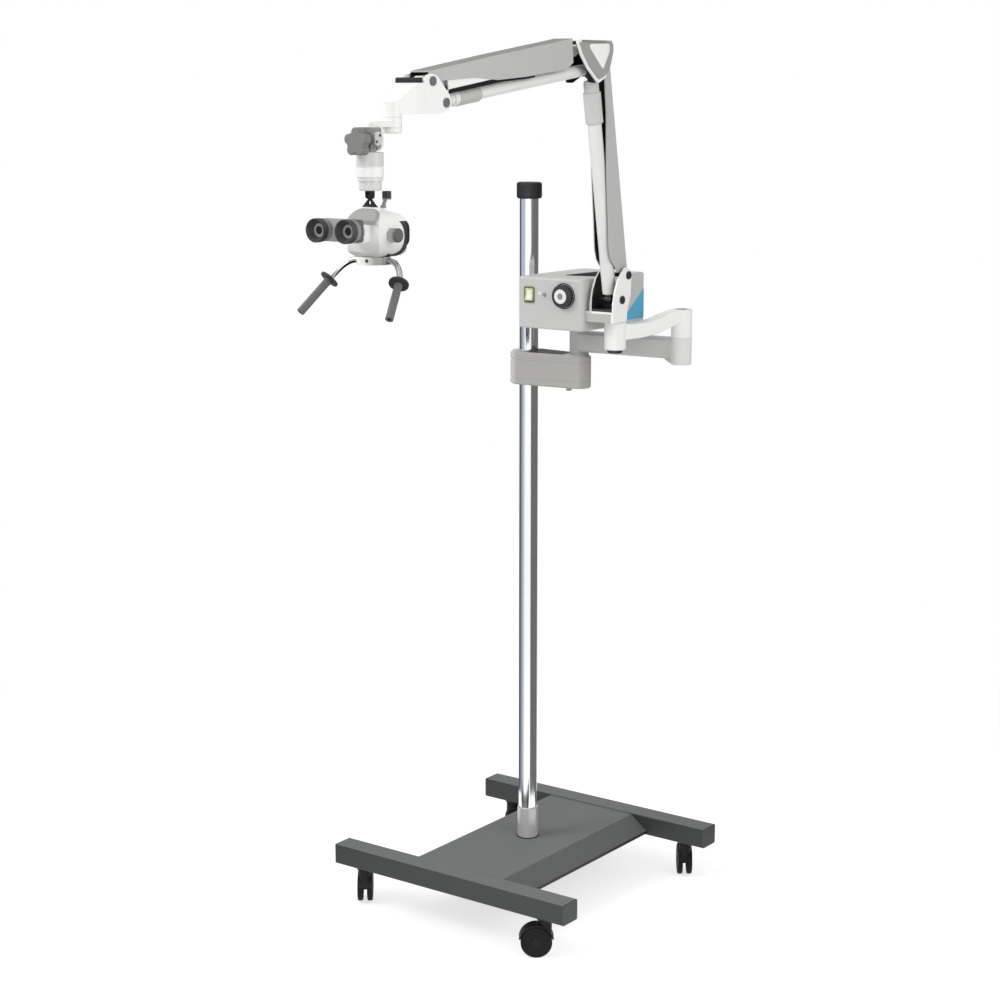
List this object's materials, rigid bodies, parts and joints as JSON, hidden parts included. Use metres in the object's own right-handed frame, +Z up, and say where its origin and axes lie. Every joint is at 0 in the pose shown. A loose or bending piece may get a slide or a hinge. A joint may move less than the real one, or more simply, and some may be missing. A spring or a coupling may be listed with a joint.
{
  "type": "surgical microscope",
  "caption": "Surgical microscope on a wheeled floor stand: column, swing arms, two parallel-link arms and a hanging binocular head with handles.",
  "frame": {"origin": "centre of the casters' footprint, on the floor", "axes": "+Z up, +X along the base rails, -Y towards the user in front of the eyepieces"},
  "size_m": [0.7194, 1.3297, 1.8373],
  "materials": {
    "dark_paint": "satin powder coat, fine texture",
    "iron": "rough cast",
    "chrome": "polished",
    "black_plastic": "satin",
    "caster_rubber": "matt",
    "light_grey_paint": "satin paint",
    "mid_grey_paint": "satin paint",
    "white_paint": "satin paint",
    "steel": "satin",
    "dark_pin": "blackened",
    "housing_white": "fine texture",
    "bare_aluminium": "bare",
    "green_plastic": "gloss",
    "cover_grey": "fine texture",
    "sleeve_grey": "fine texture",
    "face_grey": "fine texture",
    "white_plastic": "gloss",
    "black_paint": "satin paint",
    "head_white": "satin paint",
    "lens_glass": "coated optical glass",
    "soft_rubber": "matt"
  },
  "bodies": {
    "base": {"base_rails": "dark_paint", "end_caps": "black_plastic", "deck_plate": "dark_paint", "ballast_weight": "iron", "column_tube": "chrome"},
    "swivel_fl": {"caster_hood_fl": "black_plastic"},
    "wheels_fl": {"caster_wheels_fl": "caster_rubber"},
    "swivel_fr": {"caster_hood_fr": "black_plastic"},
    "wheels_fr": {"caster_wheels_fr": "caster_rubber"},
    "swivel_rl": {"caster_hood_rl": "black_plastic"},
    "wheels_rl": {"caster_wheels_rl": "caster_rubber"},
    "swivel_rr": {"caster_hood_rr": "black_plastic"},
    "wheels_rr": {"caster_wheels_rr": "caster_rubber"},
    "clamp": {"clamp_body": "light_grey_paint", "clamp_screws": "steel"},
    "arm_b": {"lower_extension_arm": "mid_grey_paint"},
    "arm_c": {"upper_extension_arm": "white_paint"},
    "turret": {"turret_bracket": "white_paint", "bracket_pins": "dark_pin", "control_housing": "housing_white", "power_supply": "bare_aluminium", "rocker_bezel": "black_plastic", "power_inlet": "black_plastic"},
    "rocker": {"power_rocker": "green_plastic"},
    "button": {"select_button": "black_plastic"},
    "dimmer": {"dimmer_knob": "black_plastic"},
    "lower_arm": {"lower_link_channel": "cover_grey"},
    "lower_rod": {"lower_guide_rod": "white_paint", "lower_sleeve": "sleeve_grey"},
    "knuckle": {"knuckle_core": "black_paint", "knuckle_rims": "white_plastic", "knuckle_faces": "face_grey"},
    "upper_arm": {"upper_link_bar": "white_paint", "upper_link_cover": "cover_grey"},
    "upper_rod": {"upper_guide_rod": "white_paint"},
    "carriage": {"front_carriage": "white_paint", "carriage_pins": "dark_pin"},
    "swing": {"swing_link": "white_paint"},
    "hanger": {"hanging_barrel": "white_paint"},
    "star": {"tilt_star_knob": "face_grey"},
    "rotor": {"barrel_rotor": "white_paint", "yoke": "black_paint"},
    "head": {"head_bracket": "black_paint", "head_body": "head_white", "lens_ring": "white_paint", "objective_lens": "lens_glass", "head_top_cover": "sleeve_grey", "incline_hub": "black_plastic", "lamp_unit": "black_plastic"},
    "lever": {"focus_lever": "black_plastic"},
    "mag": {"magnification_knob": "face_grey"},
    "binocular": {"binocular_bridge": "sleeve_grey"},
    "eye_left": {"eyepiece_tube_left": "sleeve_grey"},
    "cup_left": {"eyecup_left": "soft_rubber"},
    "eye_right": {"eyepiece_tube_right": "sleeve_grey"},
    "cup_right": {"eyecup_right": "soft_rubber"},
    "handle_left": {"handle_bar_left": "steel", "grip_left": "soft_rubber"},
    "handle_right": {"handle_bar_right": "steel", "grip_right": "soft_rubber"}
  },
  "joints": [
    {"name": "caster_swivel_fl", "type": "hinge", "parent": "base", "child": "swivel_fl", "pos_m": [-0.24, -0.275, 0.07], "axis": [0, 0, 1], "continuous": true},
    {"name": "caster_roll_fl", "type": "hinge", "parent": "swivel_fl", "child": "wheels_fl", "pos_m": [-0.25058, -0.26044, 0.0325], "axis": [-0.809, -0.5878, 0], "continuous": true},
    {"name": "caster_swivel_fr", "type": "hinge", "parent": "base", "child": "swivel_fr", "pos_m": [0.24, -0.275, 0.07], "axis": [0, 0, 1], "continuous": true},
    {"name": "caster_roll_fr", "type": "hinge", "parent": "swivel_fr", "child": "wheels_fr", "pos_m": [0.22544, -0.28558, 0.0325], "axis": [0.5878, -0.809, 0], "continuous": true},
    {"name": "caster_swivel_rl", "type": "hinge", "parent": "base", "child": "swivel_rl", "pos_m": [-0.24, 0.275, 0.07], "axis": [0, 0, 1], "continuous": true},
    {"name": "caster_roll_rl", "type": "hinge", "parent": "swivel_rl", "child": "wheels_rl", "pos_m": [-0.22544, 0.28558, 0.0325], "axis": [-0.5878, 0.809, 0], "continuous": true},
    {"name": "caster_swivel_rr", "type": "hinge", "parent": "base", "child": "swivel_rr", "pos_m": [0.24, 0.275, 0.07], "axis": [0, 0, 1], "continuous": true},
    {"name": "caster_roll_rr", "type": "hinge", "parent": "swivel_rr", "child": "wheels_rr", "pos_m": [0.22942, 0.28956, 0.0325], "axis": [-0.809, -0.5878, 0], "continuous": true},
    {"name": "clamp_height", "type": "slide", "parent": "base", "child": "clamp", "axis": [0, 0, 1], "range_m": [-0.35, 0.25]},
    {"name": "arm_b_swing", "type": "hinge", "parent": "clamp", "child": "arm_b", "pos_m": [0.128, 0, 1.205], "axis": [0, 0, 1], "range_deg": [-45, 60]},
    {"name": "arm_c_swing", "type": "hinge", "parent": "arm_b", "child": "arm_c", "pos_m": [0.3675, 0.012, 1.256], "axis": [0, 0, 1], "range_deg": [-30, 75]},
    {"name": "turret_swing", "type": "hinge", "parent": "arm_c", "child": "turret", "pos_m": [0.314, -0.15, 1.3], "axis": [0, 0, 1], "range_deg": [-20, 110]},
    {"name": "power_rocker_tip", "type": "hinge", "parent": "turret", "child": "rocker", "pos_m": [0.1503, -0.207, 1.3464], "axis": [1, 0, 0], "range_deg": [0, 12]},
    {"name": "select_button_press", "type": "slide", "parent": "turret", "child": "button", "axis": [0, 1, 0], "range_m": [0, 0.0015], "stiffness_N_per_m": 400, "springref_m": -0.0015},
    {"name": "dimmer_turn", "type": "hinge", "parent": "turret", "child": "dimmer", "pos_m": [0.233, -0.212, 1.3479], "axis": [0, 1, 0], "range_deg": [0, 280]},
    {"name": "lower_arm_lean", "type": "hinge", "parent": "turret", "child": "lower_arm", "pos_m": [0.314, -0.148, 1.39], "axis": [1, 0, 0], "range_deg": [-8, 45]},
    {"name": "lower_rod_follow", "type": "hinge", "parent": "turret", "child": "lower_rod", "pos_m": [0.314, -0.17, 1.3435], "axis": [1, 0, 0], "range_deg": [-8, 45]},
    {"name": "knuckle_level", "type": "hinge", "parent": "lower_arm", "child": "knuckle", "pos_m": [0.314, -0.223, 1.819], "axis": [1, 0, 0], "range_deg": [-45, 8]},
    {"name": "upper_arm_lift", "type": "hinge", "parent": "knuckle", "child": "upper_arm", "pos_m": [0.314, -0.297, 1.818], "axis": [1, 0, 0], "range_deg": [-18, 40]},
    {"name": "upper_rod_follow", "type": "hinge", "parent": "knuckle", "child": "upper_rod", "pos_m": [0.314, -0.26, 1.782], "axis": [1, 0, 0], "range_deg": [-18, 40]},
    {"name": "carriage_level", "type": "hinge", "parent": "upper_arm", "child": "carriage", "pos_m": [0.314, -0.76, 1.759], "axis": [1, 0, 0], "range_deg": [-40, 18]},
    {"name": "swing_link_turn", "type": "hinge", "parent": "carriage", "child": "swing", "pos_m": [0.314, -0.837, 1.691], "axis": [0, 0, 1], "range_deg": [-120, 120]},
    {"name": "side_tilt", "type": "hinge", "parent": "swing", "child": "hanger", "pos_m": [0.314, -0.885, 1.6605], "axis": [0, 1, 0], "range_deg": [-25, 25]},
    {"name": "tilt_knob_turn", "type": "hinge", "parent": "hanger", "child": "star", "pos_m": [0.314, -0.911, 1.6605], "axis": [0, 1, 0], "range_deg": [-90, 90]},
    {"name": "head_turn", "type": "hinge", "parent": "hanger", "child": "rotor", "pos_m": [0.314, -0.896, 1.603], "axis": [0, 0, 1], "range_deg": [-160, 160]},
    {"name": "head_pitch", "type": "hinge", "parent": "rotor", "child": "head", "pos_m": [0.314, -0.897, 1.5725], "axis": [1, 0, 0], "range_deg": [-35, 15]},
    {"name": "focus_lever_turn", "type": "hinge", "parent": "head", "child": "lever", "pos_m": [0.314, -0.863, 1.553], "axis": [0, 0, 1], "range_deg": [-45, 45]},
    {"name": "magnification_turn", "type": "hinge", "parent": "head", "child": "mag", "pos_m": [0.35, -0.887, 1.5085], "axis": [1, 0, 0], "continuous": true},
    {"name": "binocular_incline", "type": "hinge", "parent": "head", "child": "binocular", "pos_m": [0.314, -0.952, 1.516], "axis": [1, 0, 0], "range_deg": [-30, 20]},
    {"name": "eye_spread_left", "type": "slide", "parent": "binocular", "child": "eye_left", "axis": [1, 0, 0], "range_m": [-0.006, 0.006]},
    {"name": "eye_spread_right", "type": "slide", "parent": "binocular", "child": "eye_right", "axis": [1, 0, 0], "range_m": [-0.006, 0.006]},
    {"name": "diopter_left", "type": "hinge", "parent": "eye_left", "child": "cup_left", "pos_m": [0.283, -0.995, 1.5195], "axis": [0, 1, 0], "range_deg": [-120, 120]},
    {"name": "diopter_right", "type": "hinge", "parent": "eye_right", "child": "cup_right", "pos_m": [0.345, -0.995, 1.5195], "axis": [0, 1, 0], "range_deg": [-120, 120]},
    {"name": "handle_left_turn", "type": "hinge", "parent": "head", "child": "handle_left", "pos_m": [0.288, -0.889, 1.4655], "axis": [1, 0, 0], "range_deg": [-25, 25]},
    {"name": "handle_right_turn", "type": "hinge", "parent": "head", "child": "handle_right", "pos_m": [0.34, -0.889, 1.4655], "axis": [1, 0, 0], "range_deg": [-25, 25]}
  ],
  "couplings": [
    {"joint": "lower_rod_follow", "follows": "lower_arm_lean", "ratio": 1},
    {"joint": "knuckle_level", "follows": "lower_arm_lean", "ratio": -1},
    {"joint": "upper_rod_follow", "follows": "upper_arm_lift", "ratio": 1},
    {"joint": "carriage_level", "follows": "upper_arm_lift", "ratio": -1},
    {"joint": "eye_spread_right", "follows": "eye_spread_left", "ratio": -1}
  ]
}
